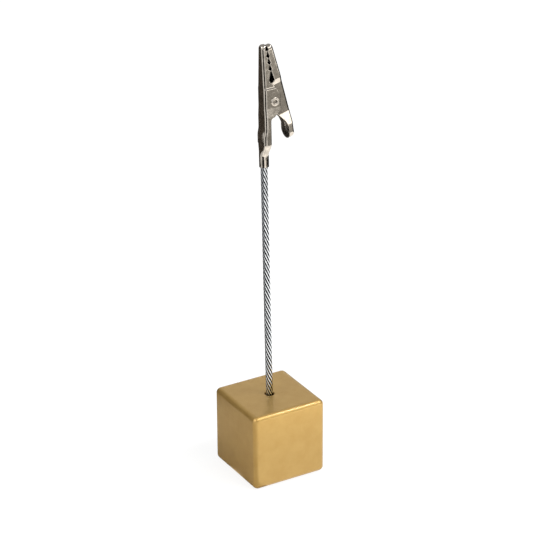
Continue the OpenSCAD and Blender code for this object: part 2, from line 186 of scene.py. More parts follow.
def add_piece(name, points, node, slot, material, body=STAND, ring=False, foot=False, sharp=35.0,
              **attributes):
    """A closed smooth-shaded piece from a grid of points in millimetres, which
    rides on its body and replaces a node. A foot is one face that closes the
    first row. Each attribute is a grid of vectors, one for each point."""
    n, m = points.shape[:2]
    faces = grid_faces(n, m, ring) + [list(range(m))] * foot
    points, faces, first = welded(points.reshape(-1, 3), faces)
    mesh = bpy.data.meshes.new(name)
    mesh.from_pydata((points * MM).tolist(), [], outward(points, faces))
    mesh.polygons.foreach_set("use_smooth", [True] * len(mesh.polygons))
    mesh.set_sharp_from_angle(angle=math.radians(sharp))
    for key, values in attributes.items():
        vectors = np.reshape(values, (-1, 3))[first].astype(np.float32)
        layer = mesh.attributes.new(key, "FLOAT_VECTOR", "POINT")
        layer.data.foreach_set("vector", vectors.ravel())
    mesh.validate()
    mesh.update()
    mesh.materials.append(material)
    piece = bpy.data.objects.new(name, mesh)
    bpy.context.scene.collection.objects.link(piece)
    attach(piece, body)
    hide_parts(node)
    return piece


def rope_to_row(points, lift=0.0):
    """From the rope's frame, whose origin is the hole's mouth or lift above
    it along the rope, to the row frame: a turn about Y by minus the lean."""
    stem, cube = bpy.context.scene.holder_stem, bpy.context.scene.holder_cube
    c, s = math.cos(stem.lean), math.sin(stem.lean)
    x, y, z = points[..., 0], points[..., 1], points[..., 2] + lift
    return np.stack([c * x - s * z, y, cube.side / MM + s * x + c * z], axis=-1)


def clip_to_row(points):
    """From the clip's frame, whose origin is the barrel's mouth."""
    return rope_to_row(points, bpy.context.scene.holder_stem.free / MM)


def smooth_step(t):
    """3 t^2 - 2 t^3, held at 0 and 1 outside."""
    t = np.clip(t, 0.0, 1.0)
    return t * t * (3.0 - 2.0 * t)


# Materials. A noise's scale is given as blotches to the millimetre, over MM.

def set_inputs(tree, node, inputs):
    """Sets a node's inputs, by name or number. Each is linked to the first output
    of a node or to a socket, or takes a value."""
    for key, value in inputs.items():
        if isinstance(value, bpy.types.Node):
            value = value.outputs[0]
        if isinstance(value, bpy.types.NodeSocket):
            tree.links.new(value, node.inputs[key])
        else:
            node.inputs[key].default_value = value


def add_node(tree, kind, inputs=(), stops=(), **settings):
    """One shader node with its settings, its inputs, and the two stops of a
    colour ramp as (position, linear colour)."""
    node = tree.nodes.new("ShaderNode" + kind)
    for key, value in settings.items():
        setattr(node, key, value)
    if stops:
        for element, (position, shade) in zip(node.color_ramp.elements, stops):
            element.position = position
            element.color = (*shade, 1.0)
    set_inputs(tree, node, dict(inputs))
    return node


def grey(value):
    return (value, value, value)


def new_material(name):
    """A material with its node tree and its shader."""
    material = bpy.data.materials.new(name)
    material.use_nodes = True
    return material, material.node_tree, material.node_tree.nodes["Principled BSDF"]


def attribute_x(tree, name):
    """First number of a piece's vector attribute."""
    vector = add_node(tree, "Attribute", attribute_name=name).outputs["Vector"]
    return add_node(tree, "SeparateXYZ", {0: vector})


def satin_gold_lacquer():
    """Gold-pigmented lacquer, sprayed over bead-blasted steel: a satin metal
    sheen with cloudy patches a few millimetres wide and a fine sprayed grain."""
    cube = bpy.context.scene.holder_cube
    material, tree, shader = new_material("Satin gold lacquer on blasted steel")
    where = add_node(tree, "TexCoord").outputs["Object"]
    clouds = add_node(tree, "TexNoise",
                      {"Vector": where, "Scale": 0.35 / MM, "Detail": 4.0, "Roughness": 0.6})
    grain = add_node(tree, "TexNoise", {"Vector": where, "Scale": 5.0 / MM, "Detail": 2.0})
    set_inputs(tree, shader, {
        "Base Color": add_node(tree, "ValToRGB", {"Fac": clouds},
                               [(0.35, cube.gold_worn), (0.65, cube.gold)]),
        "Roughness": add_node(tree, "ValToRGB", {"Fac": grain}, [(0.3, grey(0.40)), (0.7, grey(0.50))]),
        "Metallic": 0.85,
        "Coat Weight": 0.45,
        "Coat Roughness": 0.14,
        "Normal": add_node(tree, "Bump", {"Height": grain, "Strength": 0.2, "Distance": 0.012 * MM}),
    })
    return material


def cured_adhesive():
    """Clear amber adhesive with fine dust on it: dark, glossy and uneven."""
    amber = bpy.context.scene.holder_cube.adhesive
    shade = [0.6 * v for v in amber]
    material, tree, shader = new_material("Cured amber adhesive")
    where = add_node(tree, "TexCoord").outputs["Object"]
    ripples = add_node(tree, "TexNoise", {"Vector": where, "Scale": 1.5 / MM, "Detail": 2.0})
    set_inputs(tree, shader, {
        "Base Color": add_node(tree, "ValToRGB", {"Fac": ripples}, [(0.3, shade), (0.7, amber)]),
        "Roughness": 0.22,
        "IOR": 1.5,
        "Normal": add_node(tree, "Bump", {"Height": ripples, "Strength": 0.4, "Distance": 0.05 * MM}),
    })
    return material


def drawn_wire():
    """Bright drawn steel wire: hair-fine die lines run along each strand, drawn
    about a tenth of a millimetre wide to show, and the grooves between the
    strands are painted dark as shade, so that they read as dark lines."""
    stem = bpy.context.scene.holder_stem
    material, tree, shader = new_material("Bright drawn steel wire")
    where = add_node(tree, "TexCoord").outputs["Object"]
    # the attribute counts streaks, so its noise has one blotch to a unit
    along = add_node(tree, "Attribute", attribute_name="along").outputs["Vector"]
    streaks = add_node(tree, "TexNoise", {"Vector": along, "Scale": 1.0, "Detail": 2.0, "Roughness": 0.6})
    patches = add_node(tree, "TexNoise", {"Vector": where, "Scale": 0.6 / MM, "Detail": 3.0})
    bright = add_node(tree, "ValToRGB", {"Fac": streaks}, [(0.35, stem.steel_dark), (0.6, stem.steel)])
    # where a strand faces into the grooves between strands it is painted dark as shade
    unshaded_share = add_node(tree, "ValToRGB", {"Fac": attribute_x(tree, "facing")},
                     [(0.66, grey(0.0)), (0.9, grey(1.0))])
    mixed = add_node(tree, "Mix", {0: unshaded_share, 6: (*stem.groove_shade, 1.0), 7: bright}, data_type="RGBA")
    set_inputs(tree, shader, {
        "Base Color": mixed.outputs[2],
        "Roughness": add_node(tree, "ValToRGB", {"Fac": patches}, [(0.35, grey(0.12)), (0.7, grey(0.2))]),
        "Metallic": 1.0,
        "Normal": add_node(tree, "Bump", {"Height": streaks, "Strength": 0.2, "Distance": 0.008 * MM}),
    })
    return material


def nickel_plate(name, dull_share, satin=0.0):
    """Bright nickel plated over stamped steel: mirror-like with a warm cast,
    clouded by handling, with rolling lines and faint rub marks along the jaw.
    More of the clouds are dull with a larger dull_share, and satin is added to
    the roughness. The inner attribute is 1 on the inside, which is painted dark as shade, with less metal and
    more roughness."""
    clip = bpy.context.scene.holder_clip
    material, tree, shader = new_material(name)
    where = add_node(tree, "TexCoord").outputs["Object"]
    stretched = add_node(tree, "Mapping", {"Vector": where, "Scale": (1.0, 1.0, 0.15)})
    lines = add_node(tree, "TexNoise",
                     {"Vector": stretched, "Scale": 5.0 / MM, "Detail": 3.0, "Roughness": 0.6})
    clouds = add_node(tree, "TexNoise",
                      {"Vector": where, "Scale": 0.8 / MM, "Detail": 4.0, "Roughness": 0.6})
    outside = add_node(tree, "ValToRGB", {"Fac": clouds},
                       [(0.5 - dull_share, clip.nickel_dull), (0.75, clip.nickel)])
    polish = add_node(tree, "ValToRGB", {"Fac": clouds},
                      [(0.35, grey(0.09 + satin)), (0.7, grey(0.17 + satin))])
    # the inside, where the inner attribute is 1, is painted dark as shade
    inner = attribute_x(tree, "inner")
    mixed = add_node(tree, "Mix", {0: inner, 6: outside, 7: (*clip.inside, 1.0)}, data_type="RGBA")
    set_inputs(tree, shader, {
        "Base Color": mixed.outputs[2],
        "Roughness": add_node(tree, "Math", {0: inner, 1: 0.22, 2: polish}, operation="MULTIPLY_ADD"),
        "Metallic": add_node(tree, "Math", {0: inner, 1: -0.55, 2: 1.0}, operation="MULTIPLY_ADD"),
        "Normal": add_node(tree, "Bump", {"Height": lines, "Strength": 0.1, "Distance": 0.006 * MM}),
    })
    return material


def spring_wire():
    """Oil-tempered spring wire: dark steel with a thin even sheen."""
    steel = bpy.context.scene.holder_clip.spring
    shade = [0.7 * v for v in steel]
    material, tree, shader = new_material("Oil-tempered spring wire")
    where = add_node(tree, "TexCoord").outputs["Object"]
    marks = add_node(tree, "TexNoise", {"Vector": where, "Scale": 3.0 / MM, "Detail": 2.0})
    set_inputs(tree, shader, {
        "Base Color": add_node(tree, "ValToRGB", {"Fac": marks}, [(0.3, shade), (0.7, steel)]),
        "Metallic": 1.0,
        "Roughness": 0.34,
        "Normal": add_node(tree, "Bump", {"Height": marks, "Strength": 0.2, "Distance": 0.008 * MM}),
    })
    return material


# Cube and adhesive

def cube_points(side, edge, hole, depth, lean):
    """Rounded cube with a drilled hole, as one profile carried round. Every
    column looks in one direction a. Outside, a point is the corner of an inner
    cube plus the edge radius times the unit vector of (a, elevation). On the top
    the columns run in to the circle of the hole and down its leaning wall."""
    quarter = np.radians(np.linspace(0.0, 90.0, 13))
    a = np.concatenate([quarter + q * math.pi / 2 for q in range(4)])
    corner = np.repeat(np.radians([45.0, 135.0, 225.0, 315.0]), len(quarter))
    inner = side / 2 - edge
    flat = np.stack([np.sign(np.cos(corner)) * inner, np.sign(np.sin(corner)) * inner], -1)
    round_a = np.stack([np.cos(a), np.sin(a)], -1)

    def level(ring, height):
        return np.concatenate([ring, np.full((len(a), 1), height)], -1)

    rows = [level(share * flat, 0.0) for share in (0.0, 0.97)]
    for elevation in np.radians(np.linspace(-90.0, 90.0, 26)):
        rise = edge + (side - 2 * edge) * (elevation > 0) + edge * math.sin(elevation)
        rows.append(level(flat + edge * math.cos(elevation) * round_a, rise))
    # directions round the hole follow the corner ring, evenly in angle
    turn = 2 * math.pi * np.arange(len(a)) / len(a)
    rim = np.stack([np.cos(turn), np.sin(turn)], -1)
    apron, bevel, lip = 2.4 * hole, 0.12, 0.03
    # rows of the top, by their share of the way from its edge in to the hole
    rows += [level((1 - share) * flat + share * apron * rim, side) for share in (0.03, 0.5, 0.8)]
    bore = ((hole + bevel + 0.05, 0.0), (hole + bevel, 0.001), (hole + lip, 0.4 * bevel), (hole, bevel),
            (hole, depth), (0.0, depth + hole / DRILL_SLOPE))
    rows += [level(rim * r + [math.tan(lean) * down, 0.0], side - down) for r, down in bore]
    return np.array(rows)


class HOLDER_OT_cube(bpy.types.Operator):
    """Gold lacquered steel cube with its drilled hole"""
    bl_idname = "holder.cube"
    bl_label = "Cube"

    def execute(self, context):
        cube, stem = context.scene.holder_cube, context.scene.holder_stem
        points = cube_points(cube.side / MM, cube.edge / MM, cube.hole / MM, cube.hole_depth / MM, stem.lean)
        add_piece("cube_body", points, "base_cube", "cube_lacquer", satin_gold_lacquer(), sharp=40.0)
        return {"FINISHED"}


class HOLDER_OT_adhesive(bpy.types.Operator):
    """Cup of adhesive in the hole, with a hollow surface that climbs the rope"""
    bl_idname = "holder.adhesive"
    bl_label = "Adhesive"

    def execute(self, context):
        cube = context.scene.holder_cube
        surface, hollow = 1.2, 0.12
        hole, depth = cube.hole / MM - CLEARANCE, cube.hole_depth / MM
        inner = rope_radius(context.scene.holder_stem) + CLEARANCE
        mid, half = (hole + inner) / 2, (hole - inner) / 2
        profile = [(0.0, -depth - hole / DRILL_SLOPE + 2 * CLEARANCE), (hole, CLEARANCE - depth)]
        profile += [(mid + half * math.cos(t), -surface - hollow * math.sin(t))
                    for t in np.radians(np.linspace(0.0, 180.0, 9))]
        profile += [(inner, -depth), (0.0, -depth)]
        points = rope_to_row(turned(profile))
        add_piece("adhesive_cup", points, "hole_adhesive", "adhesive", cured_adhesive())
        return {"FINISHED"}


def turned(profile):
    """Profile of (radius, height) carried round Z: (r cos a, r sin a, h)."""
    profile = np.asarray(profile, float)
    a = 2 * math.pi * np.arange(TURNED_SIDES) / TURNED_SIDES
    return np.stack([profile[:, :1] * np.cos(a), profile[:, :1] * np.sin(a),
                     np.repeat(profile[:, 1:], TURNED_SIDES, axis=1)], axis=-1)


# Wire rope

def helix_radius(stem):
    """Radius of the strands' helix, on which the strands lie one gap apart."""
    strand, gap = stem.strand / MM, stem.gap / MM
    slope = STRANDS * strand / (stem.lay / MM)
    return (strand + gap) * math.sqrt(1 + slope * slope) / (2 * math.sin(math.pi / STRANDS))


def rope_radius(stem):
    """Outer radius of the rope."""
    return helix_radius(stem) + stem.strand / MM / 2


def strand_points(stem, depth, radius, start, strand_r, per_turn=48, sides=20):
    """Tube round a left-hand helix: centre (r cos a, r sin a, z) with a =
    start - 2 pi z / lay, and round it a circle in the plane square to the helix.
    The ends are closed inside the hole and the barrel. Also gives the angles
    round the circle, which start where it faces out of the rope."""
    high = depth + (stem.free + stem.tail) / MM
    lay = stem.lay / MM
    z = np.linspace(0.0, high, int(per_turn * high / lay) if radius else 2)
    a = start - 2 * math.pi * z / lay
    centre = np.stack([radius * np.cos(a), radius * np.sin(a), z - depth], -1)
    tangent = np.stack([radius * np.sin(a), -radius * np.cos(a), np.full_like(a, lay / (2 * math.pi))], -1)
    tangent /= np.linalg.norm(tangent, axis=1, keepdims=True)
    out = np.stack([np.cos(a), np.sin(a), 0 * a], -1)
    side = np.cross(tangent, out)
    b = 2 * math.pi * np.arange(sides) / sides
    ring = out[:, None] * np.cos(b)[None, :, None] + side[:, None] * np.sin(b)[None, :, None]
    body = centre[:, None] + strand_r * ring
    ends = [np.repeat(centre[:1, None], sides, 1), body, np.repeat(centre[-1:, None], sides, 1)]
    return np.concatenate(ends), b


class HOLDER_OT_stem(bpy.types.Operator):
    """Wire rope of eight strands, laid left-handed round a core strand"""
    bl_idname = "holder.stem"
    bl_label = "Wire rope"

    def execute(self, context):
        stem = context.scene.holder_stem
        material = drawn_wire()
        strand_r, gap = stem.strand / MM / 2, stem.gap / MM
        helix = helix_radius(stem)
        depth = context.scene.holder_cube.hole_depth / MM - gap
        # the core leaves the strands a little room to bed down on it
        bedding = math.cos(math.pi / 14)
        core = helix * bedding - strand_r - gap / 2
        strands = [("rope_core_strand", 0.0, 0.0, core)]
        strands += [(f"rope_strand_{i + 1}", helix, i / STRANDS, strand_r) for i in range(STRANDS)]
        # streaks in the length of a strand, in a radian round it, and between strands
        streaks_long, streaks_round, streaks_apart = 20.0, 2.2, 7.0
        for number, (node, radius, share, thick) in enumerate(strands):
            points, b = strand_points(stem, depth, radius, 2 * math.pi * share, thick)
            # the first grid draws the streaks along the strand, and the second
            # tells how far a point faces out of the rope, which sets the painted shade in the grooves
            rows = np.linspace(0.0, streaks_long, len(points))[:, None] + 0 * b
            streak = np.stack([rows, streaks_round * np.cos(b) + 0 * rows,
                               streaks_round * np.sin(b) + streaks_apart * number + 0 * rows], -1)
            facing = np.stack([np.cos(b) + 0 * rows, 0 * rows, 0 * rows], -1)
            name = node.removeprefix("rope_") + "_laid"
            add_piece(name, rope_to_row(points), node, "rope_wire", material, sharp=60.0, along=streak,
                      facing=facing)
        return {"FINISHED"}


# Sheet jaws

def half_section(half_w, reach, clip, crown):
    """Half of a bent sheet's section as points (depth, off-centre): from the
    middle of the back outside, round the bend, along the side to the free edge,
    round it, and back inside. The back bows out by crown (1 - u^2), with u from
    0 at its middle to 1 at the bend, and the sheared edge rolls over along a
    quarter ellipse. The lengths are arrays, one for each row. Also tells with 1
    which of the points lie inside."""
    sheet, bend = clip.sheet / MM, clip.bend / MM
    roll, drop, burr, side_steps = 0.16, 0.08, 0.05, 8
    turn = np.linspace(0.0, math.pi / 2, 13)
    w, r, bow = half_w[:, None], reach[:, None], crown[:, None]
    one = np.ones_like(w)
    flat = np.linspace(0.0, 0.97, 7)
    outer_x = np.concatenate([-bow * (1 - flat ** 2), one * bend * (1 - np.cos(turn))], 1)
    outer_y = np.concatenate([(w - bend) * flat, w - bend + bend * np.sin(turn)], 1)
    inner_r = bend - sheet
    inner_x = np.concatenate([one * (bend - inner_r * np.cos(turn[::-1])),
                              (sheet - bow * (1 - flat ** 2))[:, ::-1]], 1)
    inner_y = np.concatenate([w - bend + inner_r * np.sin(turn[::-1]), (w - bend) * flat[::-1]], 1)
    run = np.maximum(r - roll - bend, 0.02)
    side_x = bend + run * np.linspace(0.125, 1.0, side_steps)
    edge = np.radians([15.0, 30.0, 45.0, 60.0, 75.0, 90.0])
    lip_out_x = r - roll + roll * np.sin(edge)
    lip_out_y = w - drop + drop * np.cos(edge)
    lip_in_x = r - burr + burr * np.cos(edge[1::2])
    lip_in_y = w - sheet + burr - burr * np.sin(edge[1::2])
    x = np.concatenate([outer_x, side_x, lip_out_x, lip_in_x, side_x[:, ::-1], inner_x], 1)
    y = np.concatenate([outer_y, w + 0 * side_x, lip_out_y, lip_in_y, w - sheet + 0 * side_x, inner_y], 1)
    inside = np.zeros(x.shape[1])
    inside[outer_x.shape[1] + side_steps + len(edge):] = 1.0
    return x, y, inside


def sheet_rows(along, back, half_w, reach, crown, clip, foot_turns):
    """Rows of a jaw's sheet in its own frame (depth, across, along). A row is a
    half section at +Y and its mirror at -Y. Beyond the nose, and the foot where
    it has turns, the two halves swing together about the middle of the end row,
    until they meet: across = q cos(turn), along = end + q sin(turn). Also tells
    which points lie inside."""
    order = np.concatenate([np.repeat(0, len(foot_turns)), np.arange(len(along)),
                            np.repeat(len(along) - 1, len(END_TURNS))])
    turn = np.concatenate([-np.asarray(foot_turns)[::-1], np.zeros(len(along)), END_TURNS])
    full_reach = reach(along[order] + half_w[order] * np.sin(turn))
    x, q, inner = half_section(half_w[order], full_reach, clip, crown[order])
    depth = back[order][:, None] + x
    across, up = q * np.cos(turn)[:, None], along[order][:, None] + q * np.sin(turn)[:, None]
    right = np.stack([depth, across, up], -1)
    left = np.stack([depth, -across, up], -1)[:, ::-1]
    inner = np.concatenate([inner, inner[::-1]]) + 0 * np.concatenate([x, x], 1)
    return np.concatenate([right, left], 1), np.stack([inner, inner, inner], -1)


def split_line(clip, z):
    """X of the split between the jaws, from the drop's tip up to the nose."""
    pivot_x, pivot_z, top = clip.pivot_x / MM, clip.pivot_z / MM, clip.top / MM
    share = (top - z) / (top - pivot_z - DROP_TIP[1])
    return SPLIT_NOSE + (pivot_x + DROP_TIP[0] - SPLIT_NOSE) * share


def saw(clip, depth, shift, teeth=4):
    """Corners of the saw teeth along the split, and on to the nose: each tooth
    runs from the split line to its root, depth away, in 0.3 of the pitch."""
    low, top = clip.pivot_z / MM + DROP_TIP[1], clip.top / MM
    pitch = (top - low) / teeth
    corners = []
    for z in low + pitch * np.arange(teeth):
        root = z + 0.3 * pitch
        corners += [(split_line(clip, z) + shift, z), (split_line(clip, root) + shift - depth, root)]
    return corners + [(SPLIT_NOSE + shift, top), (SPLIT_NOSE + shift, top + 1)]


def arc(centre, radius, start, end, steps=14):
    """Points of an arc between two angles in degrees."""
    a = np.radians(np.linspace(start, end, steps))
    return list(zip(centre[0] + radius * np.cos(a), centre[1] + radius * np.sin(a)))


def tangent(point, centre, radius, side):
    """Angle in degrees, on a circle, of the point whose tangent meets point."""
    dx, dz = point[0] - centre[0], point[1] - centre[1]
    return math.degrees(math.atan2(dz, dx) + side * math.acos(radius / math.hypot(dx, dz)))


def drop_shape(clip):
    """Middle, radius, tip and foot of the drop-shaped opening."""
    pivot_x, pivot_z, radius = clip.pivot_x / MM, clip.pivot_z / MM, 0.7
    centre = (pivot_x - 0.52, pivot_z + 5.38)
    tip = (pivot_x + DROP_TIP[0], pivot_z + DROP_TIP[1])
    return centre, radius, tip, (centre[0], centre[1] - radius)


def soft_polyline(x, corners, width):
    """The polyline through its (x, y) corners at x, averaged over a bell of the
    given width, so that its corners are as round as bent sheet is."""
    offsets = np.linspace(-1.0, 1.0, 17)
    weights = np.cos(offsets * math.pi / 2) ** 2
    xs, ys = np.array(sorted(corners)).T
    values = np.interp(np.asarray(x)[..., None] + offsets * width, xs, ys)
    return (values * weights).sum(-1) / weights.sum()


def jaw_frame(x, z, tilt, sense):
    """Place along a jaw's back and depth square to it, for points of the side
    view. The back leans by tilt, and depth grows with X where sense is 1 and
    against it where sense is -1."""
    return z * math.cos(tilt) - x * math.sin(tilt), sense * (x * math.cos(tilt) + z * math.sin(tilt))


def reach_of(outline, along, back, least, tilt=0.0, sense=1.0):
    """How far the sides reach from the back, but no less than least, as a
    function of the place along it, for the free edge's corners (x, z)."""
    s, d = jaw_frame(*np.array(outline).T, tilt, sense)
    order = np.argsort(s, kind="stable")
    return lambda at: np.maximum(np.interp(at, s[order], d[order]) - np.interp(at, along, back), least)


def fine_rows(low, high, corners, spacing=0.11, beside=0.035):
    """Even rows with one on each corner and on either side of it, so that teeth
    keep their points."""
    rows = np.linspace(low, high, int((high - low) / spacing))
    added = [c + e for c in corners for e in (-beside, 0.0, beside) if low < c + e < high]
    rows = rows[[min(abs(r - c) for c in added) > 0.03 for r in rows]]
    return np.unique(np.concatenate([rows, added, [low, high]]))


def fixed_outline(clip):
    """Free edge of the fixed jaw in side view, from the foot up: the channel,
    the arch under the ear, the ear's two round corners, the drop and the teeth."""
    pivot_x, pivot_z = clip.pivot_x / MM, clip.pivot_z / MM
    edge, arch_r, ear_r, ear_x = 1.13, 1.0, 1.3, pivot_x + 0.24
    arch = (edge + arch_r, pivot_z - ARCH_DROP)
    ear_low, ear_top = (ear_x, pivot_z - 1.45), (ear_x, pivot_z + 1.05)
    centre, radius, tip, foot = drop_shape(clip)
    tip = (tip[0] - 0.15, tip[1])  # the drop stays open at its tip
    outline = [(edge, CHANNEL_FOOT - 1), (edge, CHANNEL_FOOT)]
    outline += arc((arch[0], arch[1] - arch_r), arch_r, 180.0, 90.0)
    outline += arc(ear_low, ear_r, tangent(arch, ear_low, ear_r, 1), 0.0)
    outline += arc(ear_top, ear_r, 0.0, tangent(foot, ear_top, ear_r, -1))
    outline += arc(centre, radius, 270.0, tangent(tip, centre, radius, 1))
    return outline + [(tip[0], tip[1] - 0.02)] + saw(clip, depth=0.55, shift=0.0)


class HOLDER_OT_fixed_jaw(bpy.types.Operator):
    """Fixed jaw of bent sheet, with its ears, tail channel and crimped barrel"""
    bl_idname = "holder.fixed_jaw"
    bl_label = "Fixed jaw"

    def execute(self, context):
        clip = context.scene.holder_clip
        pivot_z, nose = clip.pivot_z / MM, clip.top / MM - NOSE_HALF
        arch, tail_back, ear_half, channel_half = pivot_z - ARCH_DROP, -0.72, 1.82, 2.06
        outline = fixed_outline(clip)
        # rows crowd together at the foot, where the sheet's edge rolls in
        foot_rows = [CHANNEL_FOOT + step for step in (0.02, 0.05, 0.09)]
        along = fine_rows(CHANNEL_FOOT, nose, [z for _, z in outline] + foot_rows)
        widths = [(nose, NOSE_HALF), (pivot_z + 3.52, 1.69), (pivot_z + 3.28, ear_half),
                  (pivot_z - 1.4, ear_half), (arch, channel_half), (CHANNEL_FOOT, channel_half)]
        backs = [(nose, FIXED_BACK), (arch - 3.2, FIXED_BACK), (arch - 4.7, tail_back),
                 (CHANNEL_FOOT, tail_back)]
        half_w = soft_polyline(along, widths, 0.3)
        foot_roll = np.clip(1.0 - (along - CHANNEL_FOOT) / 0.14, 0.0, 1.0)
        half_w -= 0.12 * (1.0 - np.sqrt(1.0 - foot_roll ** 2))
        back = soft_polyline(along, backs, 0.7)
        # the tail's back bulges between the arch and the flare
        crown = 0.2 * smooth_step((10.6 - along) / 1.8) * smooth_step((along - 5.6) / 1.2)
        rows, inner = sheet_rows(along, back, half_w, reach_of(outline, along, back, 0.0), crown, clip, [])
        nickel = nickel_plate("Bright nickel plate on stamped steel", dull_share=0.15)
        # the sheet's inside takes the painted shade of nickel_plate
        add_piece("fixed_jaw_sheet", clip_to_row(rows), "fixed_jaw", "clip_nickel", nickel, foot=True,
                  inner=inner)
        bore = rope_radius(context.scene.holder_stem) + 2 * CLEARANCE
        barrel = clip_to_row(barrel_rows(bore, clip.sheet / MM))
        nickel = nickel_plate("Bright nickel plate, crimped", dull_share=0.05, satin=-0.06)
        add_piece("fixed_jaw_barrel", barrel, "fixed_jaw", "clip_nickel", nickel, ring=True, sharp=50.0)
        return {"FINISHED"}


def channel_outline(side, sign, inset):
    """The tail channel's outline at the flare's top, inset from its outside, as
    a point for each direction: side is its angle from +X and sign its side of Y.
    The corner of the bend is a quarter circle, spread over 40 degrees."""
    front, back, half_w, corner = 1.08, -0.66 + inset, 1.92 - inset, 0.66 - inset
    steps = np.linspace(0.1, 1.0, 8)
    bend = np.radians(90.0 + 90.0 * steps)
    sides = [0.0, 60.0, 100.0, *(100.0 + 40.0 * steps), 180.0]
    xs = [front, front, back + corner, *(back + corner + corner * np.cos(bend)), back]
    ys = [0.0, half_w, half_w, *(half_w - corner + corner * np.sin(bend)), 0.0]
    return np.interp(side, sides, xs), sign * np.interp(side, sides, ys)


def barrel_rows(bore, wall, high=3.1):
    """Barrel rolled round the rope, flaring up into the channel. A column is a
    direction a. Its point goes from the barrel's circle to the channel's outline
    over the flare's height, by a smooth step and a straight ramp in about equal
    shares, and the rim dips at the open front. Rows run up the outside and down
    the inside. The seam at -Y is a fine groove with a crimped notch, each of them
    a bell exp(-(angle / width)^2)."""
    seam, fillet = 270.0, 0.06
    a = np.radians(np.unique(np.concatenate([np.linspace(0.0, 357.5, 144),
                                             seam + np.linspace(-7.0, 7.0, 29)])))
    signed = (a + math.pi) % (2 * math.pi) - math.pi
    side, sign = np.abs(np.degrees(signed)), np.sign(signed + 1e-12)
    rim = CHANNEL_FOOT + 0.06 - (CHANNEL_FOOT - high - 0.35) * (1 - smooth_step((side - 22.0) / 34.0))
    off_seam = np.degrees(a) - seam

    def column(share, radius, inset, groove=0.0, notch=0.0):
        z = share * rim
        flare = (0.55 * smooth_step((z - high + 0.25) / (CHANNEL_FOOT - high + 0.25))
                 + 0.45 * np.clip((z - high) / (CHANNEL_FOOT - high), 0.0, 1.0))
        seam_dip = groove * np.exp(-(off_seam / 2.6) ** 2) * (z < high)
        notch_dip = notch * np.exp(-(off_seam / 6.0) ** 2) * smooth_step(1.0 - np.abs(z - 2.6) / 0.5)
        r = radius - seam_dip - notch_dip
        xs, ys = channel_outline(side, sign, inset)
        return np.stack([(1 - flare) * r * np.cos(a) + flare * xs,
                         (1 - flare) * r * np.sin(a) + flare * ys, z], -1)

    shares = np.linspace(0.0, 1.0, 48)
    outside = [column(s, bore + wall, 0.0, groove=0.1, notch=0.12) for s in shares]
    inside = [column(s, bore, wall) for s in shares[::-1]]
    mouth = [column(0.0, bore + fillet, wall), column(0.0, bore + wall - fillet, 0.0, groove=0.1)]
    outside[0][:, 2] += 0.05
    inside[-1][:, 2] += 0.05
    return np.array(outside + inside + mouth)


def straight_back(clip, z):
    """X of the moving jaw's back at height z, before the tab is tucked in."""
    square = MOVING_BACK / math.cos(MOVING_TILT)
    return clip.pivot_x / MM + square - (z - clip.pivot_z / MM) * math.tan(MOVING_TILT)


def moving_stations(clip):
    """Heights from the nose down to the tab, with the X of the moving jaw's back
    and its half width there. The tab is tucked in towards its foot."""
    pivot_z, nose = clip.pivot_z / MM, clip.top / MM - NOSE_HALF
    tuck, hub_half, shoulder, tab = 0.38, 1.29, pivot_z + 5.9, pivot_z - TAB_DROP + TAB_HALF
    taper = 0.54 * (nose - shoulder) / (nose - pivot_z - 3.7)
    heights = np.array([nose, shoulder, pivot_z + 4.5, pivot_z - 3.05, pivot_z - 6.25, tab])
    tucks = np.array([0.0, 0.0, 0.0, 0.0, tuck / 2, 1.5 * tuck])
    widths = [NOSE_HALF, NOSE_HALF + taper, hub_half, hub_half, TAB_HALF - tuck / 2, TAB_HALF]
    return heights, straight_back(clip, heights) - tucks, widths


def moving_outline(clip):
    """Free edge of the moving jaw in side view, from the tab up: the tab's rim,
    the round hub that passes over the rivet, the drop and the teeth."""
    pivot = (clip.pivot_x / MM, clip.pivot_z / MM)
    pivot_x, pivot_z = pivot
    hub_r, tab_x = 1.9, straight_back(clip, pivot_z - TAB_DROP + TAB_HALF)
    centre, radius, tip, foot = drop_shape(clip)
    tip = (tip[0] + 0.19, tip[1])  # the drop stays open at its tip
    outline = [(tab_x - 1.75, pivot_z - TAB_DROP - 1), (tab_x - 2.1, pivot_z - 7.0),
               (pivot_x + 2.85, pivot_z - 5.7), (pivot_x + 2.0, pivot_z - 4.75),
               (pivot_x + 0.8, pivot_z - 3.55)]
    outline += arc(pivot, hub_r, 360 + tangent(outline[-1], pivot, hub_r, -1), tangent(foot, pivot, hub_r, 1))
    outline += arc(centre, radius, -90.0, tangent(tip, centre, radius, -1))
    return outline + [(tip[0], tip[1] - 0.02)] + saw(clip, depth=-0.3, shift=0.06)


